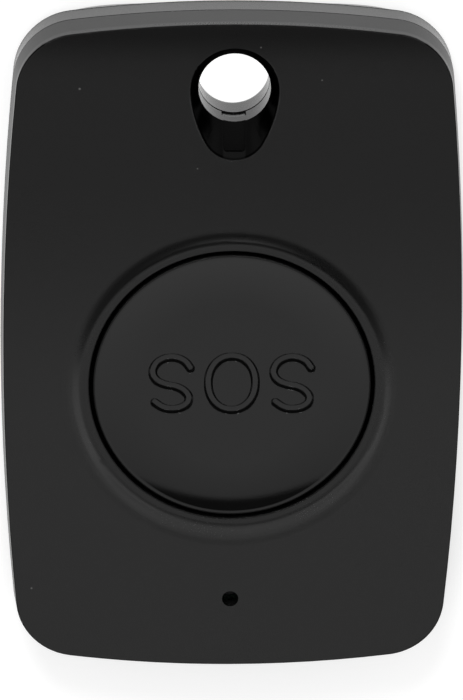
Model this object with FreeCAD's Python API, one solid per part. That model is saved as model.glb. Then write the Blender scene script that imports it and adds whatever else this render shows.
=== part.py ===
import FreeCAD
import Part
import math
import os

# Wireless panic button: a flat pendant housing of two moulded covers, with a dished press cap,
# a key-ring hole and, inside, a circuit board, a dome switch and a coin cell.
# Millimetres. The fob lies on its back: the rear face is z = 0 and the press cap faces +Z.
# +Y runs to the key-ring hole. The origin is the middle of the rear face.

# Housing outline, measured at the parting line
body_width = 42.0
body_length = 62.6
side_arc_radius = 269.0
end_arc_radius = 116.5
corner_radius = 5.9

# Housing section
parting_height = 4.05
wall = 1.4
rear_floor = 0.9
front_skin = 1.1
front_draft = 0.24
rear_draft = 0.05
face_edge_radius = 0.15
rear_edge_radius = 1.6
parting_edge_chamfer = 0.06
inner_edge_chamfer = 0.35

# Lip of the rear cover, which stands in a rebate of the front cover
lip_thickness = 0.5
lip_height = 0.7
lip_side_gap = 0.06
lip_top_gap = 0.1

# Press cap and the stepped ring round it
button_y = -3.75
aperture_radius = 13.0
aperture_edge_chamfer = 0.1
cap_side_gap = 0.44
cap_plate = 0.65
cap_edge_radius = 0.2
dish_flat_radius = 7.8
dish_arc_radius = 32.0
cap_flange_reach = 0.9
cap_flange_gap = 0.05
cap_pocket_radius = 5.0
cap_pocket_depth = 0.15
cap_rim_recess = 0.28
lip_ring_width = 0.5
ring_drop = 0.5
ring_foot_share = 0.3
ring_slope = math.radians(28)
press_travel = 0.25
press_margin = 0.08

# Guide wall for the cap's flange, with keys that stop the cap from turning
guide_gap = 0.15
guide_wall = 0.8
guide_depth = 0.75
key_count = 3
key_width = 2.4
key_reach = 0.5
key_gap = 0.1

# Key-ring hole, the egg-shaped scoop round it and the cord channel in the scoop
key_hole_end_offset = 6.54
key_hole_radius = 3.25
key_hole_rear_round = 1.5
hole_seam_chamfer = 0.15
key_tube_wall = 1.05
scoop_depth = 0.95
scoop_edge_radius = 0.3
scoop_top_margin = 0.75
scoop_end_radius = 2.95
scoop_end_offset = 3.76
scoop_side_radius = 12.6
scoop_pad_wall = 0.8
scoop_pad_depth = 0.9
channel_width = 2.0
channel_length = 2.6
channel_depth = 1.08
channel_end_depth = 0.72
channel_corner_radius = 0.4
tab_width = 2.0
tab_height = 1.0
tab_gap = 0.1

# Indicator window
indicator_end_offset = 6.8
indicator_radius = 0.75
shroud_radius = 1.1
shroud_wall = 0.7
shroud_clearance = 0.3

# Case screws, one near each corner, driven from the rear
boss_side_offset = 5.4
boss_end_offset = 6.0
boss_radius = 2.2
case_shank_radius = 0.8
case_shank_length = 4.8
case_head_radius = 1.45
case_head_height = 0.9
case_head_chamfer = 0.25
case_seat_depth = 1.1
head_gap = 0.25
shank_gap = 0.15
thread_gap = 0.02
bore_overrun = 0.15
web_thickness = 0.8
recess_width = 0.35
recess_span = 1.5
recess_depth = 0.45

# Circuit board
board_thickness = 0.7
board_edge_gap = 0.3
board_scoop_gap = 0.85
board_corner_gap = 0.6
board_screw_side_offset = 4.4
board_screw_edge_offset = 3.2
board_shank_radius = 0.6
board_shank_length = 1.75
board_head_radius = 1.2
board_head_height = 0.55
board_head_chamfer = 0.15
post_wall = 0.9
pin_boss_offset = 4.1
pin_end_offset = 5.1
pin_radius = 0.9
pin_gap = 0.05
pin_proud = 0.15
rest_length = 4.0
rest_width = 1.0
rest_gap = 0.05
rest_inset = 0.5
rest_places = (-15.0, 5.0)

# Coin cell, its holder and its contacts
cell_radius = 10.0
cell_height = 3.2
cell_can_height = 2.75
cell_step = 1.15
cell_edge_chamfer = 0.25
pole_edge_chamfer = 0.12
cell_play = 0.02
contact_gap = 0.18
holder_gap = 0.3
holder_wall = 1.1
holder_height = 2.5
holder_bridge = 0.7
holder_mouth = 11.0
holder_foot = 1.6
holder_foot_height = 0.55
contact_sheet = 0.12
contact_width = 3.0
contact_foot = 2.2
contact_reach = 5.5

# Dome switch
switch_size = 6.0
switch_height = 0.57
switch_floor = 0.05
switch_base_height = 0.42
switch_cavity_radius = 2.35
dome_radius = 2.2
dome_rise = 0.25
dome_sheet = 0.05
plunger_flange_radius = 2.0
plunger_flange = 0.1
plunger_radius = 1.3
plunger_gap = 0.02
frame_sheet = 0.08
frame_fit = 0.02
frame_skirt_gap = 0.2
frame_hole_gap = 0.04
terminal_width = 0.8
terminal_reach = 0.9
terminal_sheet = 0.12
terminal_spread = 1.9

# Parts soldered to the board: length, width, height. An offset is from the board's top edge.
radio_size = (5.0, 5.0, 0.85)
radio_place = (10.6, 8.7)
crystal_size = (2.5, 2.0, 0.6)
crystal_x = 8.2
crystal_offset = 2.5
crystal_lid_inset = 0.15
crystal_lid_height = 0.3
indicator_size = (1.6, 0.8, 0.5)
indicator_lens_length = 1.0
indicator_base_height = 0.17
inductor_size = (2.5, 2.0, 1.2)
inductor_x = -9.0
inductor_offset = 3.9
inductor_rim = 0.15
inductor_groove = 0.15
inductor_groove_depth = 0.6
diode_size = (1.7, 1.25, 0.8)
diode_x = -4.6
diode_offset = 3.9
diode_lead_reach = 0.6
diode_lead_width = 0.6
chip_size = (1.0, 0.5, 0.5)
resistor_size = (1.0, 0.5, 0.35)
chip_pitch = 1.4
chip_row_x = 0.9
chip_row_count = 3
chip_row_offset = 2.4
resistor_pin_offset = 2.3
resistor_count = 4

# Printed antenna along the board's top edge
antenna_width = 0.5
antenna_sheet = 0.05
antenna_pitch = 1.5
antenna_turns = 5
antenna_height = 2.6
antenna_side_offset = 7.4
antenna_margin = 0.9

# Heights of the stack, from the rear face up to the front face
cell_bottom = rear_floor + cell_play
cell_top = cell_bottom + cell_height
board_bottom = cell_top + contact_gap
board_top = board_bottom + board_thickness
switch_top = board_top + switch_height
cap_pocket_z = switch_top + press_travel + press_margin
cap_under = cap_pocket_z - cap_pocket_depth
cap_flat = cap_under + cap_plate
cap_radius = aperture_radius - cap_side_gap
dish_run = cap_radius - cap_edge_radius - dish_flat_radius
cap_rim = cap_flat + dish_arc_radius - math.sqrt(dish_arc_radius ** 2 - dish_run ** 2)
lip_ring_z = cap_rim + cap_rim_recess
face = lip_ring_z + ring_drop
skin_under = face - front_skin

# Radii and places that follow from the sizes above
key_hole_y = body_length / 2 - key_hole_end_offset
indicator_y = indicator_end_offset - body_length / 2
flange_radius = aperture_radius + cap_flange_reach
guide_radius = flange_radius + guide_gap
key_tube_radius = key_hole_radius + key_tube_wall
scoop_top_radius = key_hole_radius + scoop_top_margin
scoop_end_y = key_hole_y - scoop_end_offset
boss_x = body_width / 2 - boss_side_offset
boss_y = body_length / 2 - boss_end_offset
rebate_inset = wall - lip_thickness - lip_side_gap
board_inset = wall + board_edge_gap
post_radius = board_shank_radius + post_wall
board_top_edge = scoop_end_y - scoop_end_radius - scoop_pad_wall - board_scoop_gap
board_screw_x = body_width / 2 - board_screw_side_offset
board_screw_y = board_top_edge - board_screw_edge_offset
pin_x = boss_x - pin_boss_offset
pin_y = pin_end_offset - body_length / 2
crystal_place = (crystal_x, board_top_edge - crystal_offset)
inductor_place = (inductor_x, board_top_edge - inductor_offset)
diode_place = (diode_x, board_top_edge - diode_offset)
antenna_left = antenna_side_offset - body_width / 2
case_bore_top = case_seat_depth + case_shank_length + bore_overrun
board_bore_top = board_bottom + board_shank_length + bore_overrun
shroud_low = board_top + shroud_clearance

corners = [(side * boss_x, end * boss_y) for side in (-1, 1) for end in (-1, 1)]
board_screws = [(side * board_screw_x, board_screw_y) for side in (-1, 1)]
board_pins = [(side * pin_x, pin_y) for side in (-1, 1)]

TOP = FreeCAD.Vector(0, 0, 1)
LEVEL_TOLERANCE = 1e-4

# OVER is how far a cutting form runs past what it opens, BITE how far a fused form runs into its carrier
OVER = 1.0
BITE = 0.25


def point(x, y, z=0.0):
    return FreeCAD.Vector(x, y, z)


def cylinder(x, y, radius, low, high):
    return Part.makeCylinder(radius, high - low, point(x, y, low), TOP)


def tube(x, y, inner, outer, low, high):
    return cylinder(x, y, outer, low, high).cut(cylinder(x, y, inner, low, high))


def block(x_low, x_high, y_low, y_high, low, high):
    return Part.makeBox(x_high - x_low, y_high - y_low, high - low, point(x_low, y_low, low))


def slab(place, size, low):
    """A block of the given length, width and height, centred on a place and standing on low."""
    x, y = place
    length, width, height = size
    return block(x - length / 2, x + length / 2, y - width / 2, y + width / 2, low, low + height)


def turned(shape, x, y, degrees):
    copy = shape.copy()
    copy.rotate(point(x, y), TOP, degrees)
    return copy


def arc(start, middle, end):
    return Part.Arc(start, middle, end).toShape()


def line(start, end):
    return Part.LineSegment(start, end).toShape()


def circles_meet(first, first_radius, second, second_radius):
    """The crossing of two circles that lies furthest towards +X and +Y."""
    across = second - first
    reach = across.Length
    along = (reach ** 2 + first_radius ** 2 - second_radius ** 2) / (2 * reach)
    off = math.sqrt(first_radius ** 2 - along ** 2)
    unit = across / reach
    side = point(-unit.y, unit.x)
    options = [first + unit * along + side * off, first + unit * along - side * off]
    return max(options, key=lambda p: p.x + p.y)


def beyond(centre, through, radius):
    """The point at radius from centre, in the direction of another point."""
    direction = through - centre
    return centre + direction * (radius / direction.Length)


def mirrored(p, x_sign, y_sign, height):
    return point(p.x * x_sign, p.y * y_sign, height)


def housing_wire(inset, height):
    """The barrel-sided outline: four long arcs and four corner arcs, all tangent.

    Each long arc is two edges that meet in its middle, where the outline is widest.
    """
    side_centre = point(body_width / 2 - side_arc_radius, 0)
    end_centre = point(0, body_length / 2 - end_arc_radius)
    corner = circles_meet(
        side_centre, side_arc_radius - corner_radius, end_centre, end_arc_radius - corner_radius
    )
    on_side = beyond(side_centre, corner, side_arc_radius - inset)
    on_end = beyond(end_centre, corner, end_arc_radius - inset)
    middle = beyond(corner, corner + (on_side - corner) + (on_end - corner), corner_radius - inset)
    side_mid = point(body_width / 2 - inset, 0)
    end_mid = point(0, body_length / 2 - inset)
    side_half = beyond(side_centre, (side_mid + on_side) / 2, side_arc_radius - inset)
    end_half = beyond(end_centre, (end_mid + on_end) / 2, end_arc_radius - inset)
    quarter = [(side_mid, side_half, on_side), (on_side, middle, on_end), (on_end, end_half, end_mid)]
    edges = []
    for x_sign, y_sign in ((1, 1), (-1, 1), (-1, -1), (1, -1)):
        run = [[mirrored(p, x_sign, y_sign, height) for p in piece] for piece in quarter]
        if x_sign * y_sign < 0:
            run = [piece[::-1] for piece in run[::-1]]
        edges.extend(arc(*piece) for piece in run)
    return Part.Wire(edges)


def housing_solid(low_inset, low, high_inset, high):
    wires = [housing_wire(low_inset, low), housing_wire(high_inset, high)]
    return Part.makeLoft(wires, True, True)


def housing_band(outer_inset, inner_inset, low, high):
    outer = housing_solid(outer_inset, low, outer_inset, high)
    return outer.cut(housing_solid(inner_inset, low, inner_inset, high))


def level_edges(shape, height, keep=None):
    """Edges that lie flat at a height and whose middle passes the test keep(x, y)."""
    found = []
    for edge in shape.Edges:
        box = edge.BoundBox
        if abs(box.ZMin - height) > LEVEL_TOLERANCE or abs(box.ZMax - height) > LEVEL_TOLERANCE:
            continue
        middle = edge.valueAt((edge.FirstParameter + edge.LastParameter) / 2)
        if keep is None or keep(middle.x, middle.y):
            found.append(edge)
    return found


def egg_wire(grow, height):
    """The scoop's outline: an arc round the hole, a smaller arc at the far end, two long side arcs."""
    top_radius = scoop_top_radius + grow
    end_radius = scoop_end_radius + grow
    side_radius = scoop_side_radius + grow
    top_centre = point(0, key_hole_y)
    end_centre = point(0, scoop_end_y)
    spread = key_hole_y - scoop_end_y
    top_reach = scoop_side_radius - scoop_top_radius
    end_reach = scoop_side_radius - scoop_end_radius
    rise = (spread ** 2 + end_reach ** 2 - top_reach ** 2) / (2 * spread)
    side_centre = point(-math.sqrt(end_reach ** 2 - rise ** 2), scoop_end_y + rise)
    upper = beyond(side_centre, top_centre, side_radius)
    lower = beyond(side_centre, end_centre, side_radius)
    side = beyond(side_centre, (upper + lower) / 2, side_radius)
    top = top_centre + point(0, top_radius)
    end = end_centre - point(0, end_radius)
    right = [mirrored(p, 1, 1, height) for p in (lower, side, upper)]
    left = [mirrored(p, -1, 1, height) for p in (upper, side, lower)]
    top.z = height
    end.z = height
    edges = [arc(*right), arc(right[2], top, left[0]), arc(*left), arc(left[2], end, right[0])]
    return Part.Wire(edges)


def hole_wire(height):
    """The hole's rim in four arcs that face the four arcs of the scoop's outline."""
    egg = egg_wire(0, height)
    centre = point(0, key_hole_y, height)
    edges = []
    for edge in egg.OrderedEdges:
        ends = [vertex.Point for vertex in edge.Vertexes]
        middle = edge.valueAt((edge.FirstParameter + edge.LastParameter) / 2)
        start, through, end = (beyond(centre, p, key_hole_radius) for p in (ends[0], middle, ends[1]))
        edges.append(arc(start, through, end))
    return Part.Wire(edges)


def ring_step():
    """What is cleared over the press cap: a flat lip, a concave foot and a convex shoulder."""
    rise_at_slope = 1 - math.cos(ring_slope)
    total = ring_drop / rise_at_slope
    foot = total * ring_foot_share
    shoulder = total - foot
    start = aperture_radius + lip_ring_width
    turn = start + foot * math.sin(ring_slope)
    end = turn + shoulder * math.sin(ring_slope)
    turn_z = lip_ring_z + foot * rise_at_slope
    half = ring_slope / 2
    foot_mid = (start + foot * math.sin(half), lip_ring_z + foot * (1 - math.cos(half)))
    shoulder_mid = (end - shoulder * math.sin(half), face - shoulder * (1 - math.cos(half)))

    def at(radius, height):
        return point(radius, button_y, height)

    top = face + OVER
    edges = [
        line(at(0, lip_ring_z), at(start, lip_ring_z)),
        arc(at(start, lip_ring_z), at(*foot_mid), at(turn, turn_z)),
        arc(at(turn, turn_z), at(*shoulder_mid), at(end, face)),
        line(at(end, face), at(end, top)),
        line(at(end, top), at(0, top)),
        line(at(0, top), at(0, lip_ring_z)),
    ]
    return Part.Face(Part.Wire(edges)).revolve(point(0, button_y), TOP, 360)


def scoop():
    dish = Part.makeLoft([egg_wire(0, face), hole_wire(face - scoop_depth)], True, True)
    hole_edge = key_hole_y - key_hole_radius
    far = hole_edge - channel_length
    slope = (channel_depth - channel_end_depth) / channel_length
    at_centre = face - channel_depth - slope * key_hole_radius
    section = [
        point(0, far, face + OVER),
        point(0, far, face - channel_end_depth),
        point(0, key_hole_y, at_centre),
        point(0, key_hole_y, face + OVER),
    ]
    side = Part.Face(Part.makePolygon(section + section[:1]))
    side.translate(point(-channel_width / 2, 0))
    channel = side.extrude(point(channel_width, 0))
    uprights = [
        edge
        for edge in channel.Edges
        if abs(edge.BoundBox.YMax - far) < LEVEL_TOLERANCE and edge.BoundBox.ZLength > channel_end_depth
    ]
    return dish.fuse(channel.makeFillet(channel_corner_radius, uprights))


def cap_key_shapes(width, reach, low, high):
    """Blocks across the flange's rim, evenly spaced round the press cap."""
    keys = []
    for index in range(key_count):
        key = block(-width / 2, width / 2, button_y, button_y + reach, low, high)
        keys.append(turned(key, 0, button_y, 360 * index / key_count))
    return keys


def front_cover():
    cover = housing_solid(0, parting_height, front_draft, face)
    cover = cover.makeFillet(face_edge_radius, level_edges(cover, face))
    cover = cover.makeChamfer(parting_edge_chamfer, level_edges(cover, parting_height))
    cover = cover.cut(housing_solid(wall, parting_height, wall, skin_under))
    rebate_top = parting_height + lip_height + lip_top_gap
    cover = cover.cut(housing_solid(rebate_inset, parting_height, rebate_inset, rebate_top))
    cover = cover.fuse(front_inside(rebate_top + lip_top_gap))
    cover = cover.cut([ring_step(), scoop()] + front_openings() + front_bores())
    cover = cover.makeFillet(scoop_edge_radius, level_edges(cover, face, near_scoop))
    cover = cover.makeChamfer(hole_seam_chamfer, level_edges(cover, parting_height, at_key_hole))
    return cover.makeChamfer(aperture_edge_chamfer, level_edges(cover, lip_ring_z, at_aperture))


def front_inside(web_low):
    """What stands inside the front cover: scoop backing, hole tube, guide wall, shroud and bosses."""
    pad_low = skin_under - scoop_pad_depth
    pad = Part.Face(egg_wire(scoop_pad_wall, pad_low)).extrude(TOP * (scoop_pad_depth + BITE))
    guide_outer = guide_radius + guide_wall
    shroud_outer = shroud_radius + shroud_wall
    forms = [
        pad,
        cylinder(0, key_hole_y, key_tube_radius, parting_height, face - scoop_depth),
        tube(0, button_y, guide_radius, guide_outer, skin_under - guide_depth, skin_under),
        tube(0, indicator_y, shroud_radius, shroud_outer, shroud_low, skin_under),
    ]
    for x, y in corners:
        forms.append(cylinder(x, y, boss_radius, parting_height, skin_under))
        forms.append(boss_web(x, y, web_low))
    for x, y in board_screws:
        forms.append(cylinder(x, y, post_radius, board_top, skin_under))
    for x, y in board_pins:
        forms.append(cylinder(x, y, pin_radius + post_wall, board_top, skin_under))
        forms.append(cylinder(x, y, pin_radius, board_bottom - pin_proud, board_top))
    return forms


def front_openings():
    """The button aperture with its key slots, the key-ring hole, the tab's notch and the window."""
    notch_top = parting_height + tab_height + tab_gap
    notch_half = tab_width / 2 + tab_gap
    notch_far = key_hole_y - key_tube_radius - tab_gap
    slot_reach = flange_radius + key_reach + key_gap
    slots = cap_key_shapes(key_width + 2 * key_gap, slot_reach, skin_under - guide_depth, skin_under)
    return slots + [
        cylinder(0, button_y, aperture_radius, skin_under - OVER, face),
        cylinder(0, key_hole_y, key_hole_radius, parting_height - OVER, face + OVER),
        cylinder(0, indicator_y, indicator_radius, shroud_low, face + OVER),
        block(-notch_half, notch_half, notch_far, key_hole_y, parting_height - OVER, notch_top),
    ]


def front_bores():
    """The pilot bores of the case screws and of the board screws."""
    case_radius = case_shank_radius + thread_gap
    board_radius = board_shank_radius + thread_gap
    bores = [cylinder(x, y, case_radius, parting_height - OVER, case_bore_top) for x, y in corners]
    bores.extend(cylinder(x, y, board_radius, board_top, board_bore_top) for x, y in board_screws)
    return bores


def near_scoop(x, y):
    """True on the scoop's outline, the only edge of the face between its sides and beyond its end."""
    return abs(x) < scoop_top_radius and y > scoop_end_y - scoop_end_radius - LEVEL_TOLERANCE


def at_key_hole(x, y):
    return abs(math.hypot(x, y - key_hole_y) - key_hole_radius) < LEVEL_TOLERANCE


def at_aperture(x, y):
    return abs(math.hypot(x, y - button_y) - aperture_radius) < lip_ring_width / 2


def boss_web(x, y, low):
    """A short web that ties a screw boss to the corner of the wall beside it."""
    half = web_thickness / 2
    web = block(x, x + corner_radius, y - half, y + half, low, skin_under)
    diagonal = math.degrees(math.atan2(math.copysign(1, y), math.copysign(1, x)))
    inner_wall = wall - BITE
    return turned(web, x, y, diagonal).common(housing_solid(inner_wall, low, inner_wall, skin_under))


def rear_cover():
    cover = housing_solid(rear_draft, 0, 0, parting_height)
    cover = cover.makeFillet(rear_edge_radius, level_edges(cover, 0))
    cover = cover.makeChamfer(parting_edge_chamfer, level_edges(cover, parting_height))
    cavity = housing_solid(wall, rear_floor, wall, parting_height)
    cavity = cavity.makeChamfer(inner_edge_chamfer, level_edges(cavity, rear_floor))
    cover = cover.cut(cavity)

    lip_outer = wall - lip_thickness
    inside = [housing_band(lip_outer, wall, parting_height, parting_height + lip_height)]
    inside.append(cylinder(0, key_hole_y, key_tube_radius, rear_floor, parting_height))
    for x, y in corners:
        inside.append(cylinder(x, y, boss_radius, rear_floor, parting_height))
    for y in rest_places:
        inside.append(board_rests(y))
    cover = cover.fuse(inside)

    cuts = [cylinder(0, key_hole_y, key_hole_radius, -OVER, face)]
    for x, y in corners:
        cuts.append(cylinder(x, y, case_shank_radius + shank_gap, -OVER, face))
        cuts.append(cylinder(x, y, case_head_radius + head_gap, -OVER, case_seat_depth))
    cover = cover.cut(cuts)
    cover = cover.makeChamfer(hole_seam_chamfer, level_edges(cover, parting_height, at_key_hole))
    cover = cover.fuse(locating_tab())

    hole_rim = level_edges(cover, 0, lambda x, y: math.hypot(x, y - key_hole_y) < key_tube_radius)
    return cover.makeFillet(key_hole_rear_round, hole_rim)


def locating_tab():
    """The part of the hole's tube that stands up into the front cover's notch, behind the seam."""
    high = parting_height + tab_height
    half = tab_width / 2
    inner_radius = key_hole_radius + hole_seam_chamfer
    ring = tube(0, key_hole_y, inner_radius, key_tube_radius, parting_height, high)
    return ring.common(block(-half, half, key_hole_y - key_tube_radius, key_hole_y, parting_height, high))


def board_rests(y):
    """A pair of ribs against the side walls that the board's long edges lie on."""
    reach = board_inset + rest_inset + rest_width
    high = board_bottom - rest_gap
    half = rest_length / 2
    zone = housing_band(wall, reach, rear_floor, high)
    window = block(-body_width, body_width, y - half, y + half, rear_floor, high)
    return zone.common(window)


def button_cap():
    """A dished disc with a flange that keeps it in the aperture and a pocket over the switch."""

    def at(radius, height):
        return point(radius, button_y, height)

    flange_top = skin_under - cap_flange_gap
    rim_start = cap_radius - cap_edge_radius
    turn = math.asin(dish_run / dish_arc_radius)
    half = turn / 2
    dish_mid = (
        dish_flat_radius + dish_arc_radius * math.sin(half),
        cap_flat + dish_arc_radius * (1 - math.cos(half)),
    )
    diagonal = cap_edge_radius * math.sqrt(0.5)
    edge_mid = (rim_start + diagonal, cap_rim - cap_edge_radius + diagonal)
    edges = [
        line(at(0, cap_pocket_z), at(cap_pocket_radius, cap_pocket_z)),
        line(at(cap_pocket_radius, cap_pocket_z), at(cap_pocket_radius, cap_under)),
        line(at(cap_pocket_radius, cap_under), at(flange_radius, cap_under)),
        line(at(flange_radius, cap_under), at(flange_radius, flange_top)),
        line(at(flange_radius, flange_top), at(cap_radius, flange_top)),
        line(at(cap_radius, flange_top), at(cap_radius, cap_rim - cap_edge_radius)),
        arc(at(cap_radius, cap_rim - cap_edge_radius), at(*edge_mid), at(rim_start, cap_rim)),
        arc(at(rim_start, cap_rim), at(*dish_mid), at(dish_flat_radius, cap_flat)),
        line(at(dish_flat_radius, cap_flat), at(0, cap_flat)),
        line(at(0, cap_flat), at(0, cap_pocket_z)),
    ]
    disc = Part.Face(Part.Wire(edges)).revolve(point(0, button_y), TOP, 360)
    keys = cap_key_shapes(key_width, flange_radius + key_reach, cap_under, flange_top)
    hub = cylinder(0, button_y, cap_radius, cap_under, flange_top)
    return disc.fuse([key.cut(hub) for key in keys])


def circuit_board():
    board = housing_solid(board_inset, board_bottom, board_inset, board_top)
    cuts = [block(-body_width, body_width, board_top_edge, body_length, board_bottom, board_top)]
    cuts.extend(corner_notch(x, y) for x, y in corners if y < 0)
    for x, y in board_screws:
        cuts.append(cylinder(x, y, board_shank_radius + shank_gap, board_bottom, board_top))
    for x, y in board_pins:
        cuts.append(cylinder(x, y, pin_radius + pin_gap, board_bottom, board_top))
    return board.cut(cuts)


def corner_notch(x, y):
    """The corner cut away for a screw boss, rounded about the boss."""
    clear = boss_radius + board_corner_gap
    inner = x - math.copysign(clear, x)
    x_low, x_high = sorted((inner, math.copysign(body_width, x)))
    notch = block(x_low, x_high, -body_length, y + clear, board_bottom, board_top)
    upright = [
        edge
        for edge in notch.Edges
        if edge.BoundBox.ZLength > board_thickness / 2
        and edge.BoundBox.Center.distanceToPoint(point(inner, y + clear, edge.BoundBox.Center.z))
        < LEVEL_TOLERANCE
    ]
    return notch.makeFillet(clear, upright)


def screw(x, y, radius, length, head_radius, head_height, head_chamfer, seat):
    """A pan-head screw that points up, with its head below the seat and a cross recess."""
    head = cylinder(x, y, head_radius, seat - head_height, seat)
    head = head.makeChamfer(head_chamfer, level_edges(head, seat - head_height))
    shank = cylinder(x, y, radius, seat, seat + length)
    low = seat - head_height
    span = recess_span / 2
    half = recess_width / 2
    cross = block(x - span, x + span, y - half, y + half, low, low + recess_depth)
    cross = cross.fuse(turned(cross, x, y, 90))
    return head.fuse(shank).cut(cross)


def case_screws():
    shank = (case_shank_radius, case_shank_length)
    head = (case_head_radius, case_head_height, case_head_chamfer)
    return [screw(x, y, *shank, *head, case_seat_depth) for x, y in corners]


def board_screw_pair():
    shank = (board_shank_radius, board_shank_length)
    head = (board_head_radius, board_head_height, board_head_chamfer)
    return [screw(x, y, *shank, *head, board_bottom) for x, y in board_screws]


def coin_cell():
    """A crimped can, its flat face to the rear and its smaller pole to the board."""
    can_top = cell_bottom + cell_can_height
    can = cylinder(0, button_y, cell_radius, cell_bottom, can_top)
    rims = level_edges(can, cell_bottom) + level_edges(can, can_top)
    can = can.makeChamfer(cell_edge_chamfer, rims)
    pole = cylinder(0, button_y, cell_radius - cell_step, cell_bottom + cell_edge_chamfer, cell_top)
    return can.fuse(pole.makeChamfer(pole_edge_chamfer, level_edges(pole, cell_top)))


def battery_holder():
    """A moulded horseshoe soldered under the board: the cell slides in through its mouth."""
    inner = cell_radius + holder_gap
    outer = inner + holder_wall
    low = board_bottom - holder_height
    ring = tube(0, button_y, inner, outer, low, board_bottom)
    half = holder_mouth / 2
    mouth = block(-half, half, button_y - outer - OVER, button_y, low, board_bottom)
    clip = contact_slot(contact_width + 2 * holder_gap, low + holder_bridge, board_bottom)
    ring = ring.cut([mouth, clip])
    feet = []
    half_foot = holder_foot / 2
    foot_low = board_bottom - holder_foot_height
    for side in (-1, 1):
        x_low, x_high = sorted((side * (outer - BITE), side * (outer + holder_foot)))
        feet.append(
            block(x_low, x_high, button_y - half_foot, button_y + half_foot, foot_low, board_bottom)
        )
    return ring.fuse(feet)


def contact_slot(width, low, high):
    """The gap in the holder's far side where the positive contact stands."""
    reach = cell_radius + holder_gap + holder_wall + OVER
    return block(-width / 2, width / 2, button_y, button_y + reach, low, high)


def positive_contact():
    """A bent strip: a foot soldered to the board and a spring leaf against the cell's side."""
    half = contact_width / 2
    leaf_start = button_y + cell_radius + cell_play
    leaf_end = leaf_start + contact_sheet
    leaf_low = board_bottom - holder_height + holder_bridge + holder_gap
    leaf = block(-half, half, leaf_start, leaf_end, leaf_low, board_bottom)
    foot = block(
        -half, half, leaf_start, leaf_end + contact_foot, board_bottom - contact_sheet, board_bottom
    )
    return leaf.fuse(foot)


def negative_contact():
    """A flat leaf under the board with a bowed finger that rests on the cell's smaller pole."""
    half = contact_width / 2
    left = -contact_reach
    right = contact_reach
    pad_low = board_bottom - contact_sheet
    pad = block(left, left + contact_foot, button_y - half, button_y + half, pad_low, board_bottom)
    bow = contact_gap - contact_sheet - cell_play
    middle = (left + contact_foot + right) / 2

    def at(x, height):
        return point(x, button_y - half, height)

    start = left + contact_foot
    edges = [
        line(at(start, board_bottom), at(start, pad_low)),
        arc(at(start, pad_low), at(middle, pad_low - bow), at(right, pad_low)),
        line(at(right, pad_low), at(right, board_bottom)),
        arc(at(right, board_bottom), at(middle, board_bottom - bow), at(start, board_bottom)),
    ]
    finger = Part.Face(Part.Wire(edges)).extrude(point(0, contact_width))
    return pad.fuse(finger)


def switch_square(size, low, high):
    half = size / 2
    return block(-half, half, button_y - half, button_y + half, low, high)


def switch_base():
    base = switch_square(switch_size, board_top, board_top + switch_base_height)
    cavity = cylinder(0, button_y, switch_cavity_radius, board_top + switch_floor, switch_top)
    return base.cut(cavity)


def switch_dome():
    """A thin snap disc, higher in the middle."""
    rise = dome_rise
    radius = (dome_radius ** 2 + rise ** 2) / (2 * rise)
    low = board_top + switch_floor
    centre = point(0, button_y, low + rise - radius)
    outer = Part.makeSphere(radius + dome_sheet, centre)
    inner = Part.makeSphere(radius, centre)
    zone = cylinder(0, button_y, dome_radius, low, switch_top)
    return outer.cut(inner).common(zone)


def switch_plunger():
    flange_low = board_top + switch_floor + dome_rise + dome_sheet + plunger_gap
    flange = cylinder(0, button_y, plunger_flange_radius, flange_low, flange_low + plunger_flange)
    stem = cylinder(0, button_y, plunger_radius, flange_low, cap_pocket_z - plunger_gap)
    return flange.fuse(stem)


def switch_frame():
    """A pressed sheet cap over the base, with a hole for the plunger."""
    inner = switch_size + 2 * frame_fit
    outer = inner + 2 * frame_sheet
    low = board_top + frame_skirt_gap
    shell = switch_square(outer, low, switch_top)
    hollow = switch_square(inner, low, switch_top - frame_sheet)
    hole = cylinder(0, button_y, plunger_radius + frame_hole_gap, low, switch_top)
    return shell.cut([hollow, hole])


def switch_terminals():
    tabs = []
    inner = switch_size / 2
    for side in (-1, 1):
        for offset in (-terminal_spread, terminal_spread):
            low_x, high_x = sorted((side * inner, side * (inner + terminal_reach)))
            y = button_y + offset
            half = terminal_width / 2
            tabs.append(block(low_x, high_x, y - half, y + half, board_top, board_top + terminal_sheet))
    return tabs


def radio_chip():
    """A flat square package under the board, beside the cell's holder."""
    return slab(radio_place, radio_size, board_bottom - radio_size[2])


def crystal():
    """A ceramic case with a slightly smaller metal lid."""
    length, width, height = crystal_size
    inset = 2 * crystal_lid_inset
    case_height = height - crystal_lid_height
    case = slab(crystal_place, (length, width, case_height), board_top)
    lid_size = (length - inset, width - inset, crystal_lid_height)
    return case.fuse(slab(crystal_place, lid_size, board_top + case_height))


def indicator_led():
    length, width, height = indicator_size
    place = (0, indicator_y)
    base = slab(place, (length, width, indicator_base_height), board_top)
    lens_size = (indicator_lens_length, width, height - indicator_base_height)
    return base.fuse(slab(place, lens_size, board_top + indicator_base_height))


def power_inductor():
    """A shielded coil under the board, with a round drum in a square frame."""
    length, width, height = inductor_size
    low = board_bottom - height
    body = slab(inductor_place, inductor_size, low)
    x, y = inductor_place
    groove_outer = width / 2 - inductor_rim
    groove_inner = groove_outer - inductor_groove
    return body.cut(tube(x, y, groove_inner, groove_outer, low, low + inductor_groove_depth))


def protection_diode():
    """A moulded body under the board with a flat lead at each end."""
    length, width, height = diode_size
    body = slab(diode_place, diode_size, board_bottom - height)
    lead_size = (length + 2 * diode_lead_reach, diode_lead_width, terminal_sheet)
    return body.fuse(slab(diode_place, lead_size, board_bottom - terminal_sheet))


def chip_capacitors():
    """Two rows of chips between the antenna and the crystal."""
    chips = []
    upper = board_top_edge - chip_row_offset
    for index in range(chip_row_count):
        for y in (upper - chip_pitch, upper):
            chips.append(slab((chip_row_x + index * chip_pitch, y), chip_size, board_top))
    return chips


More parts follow.
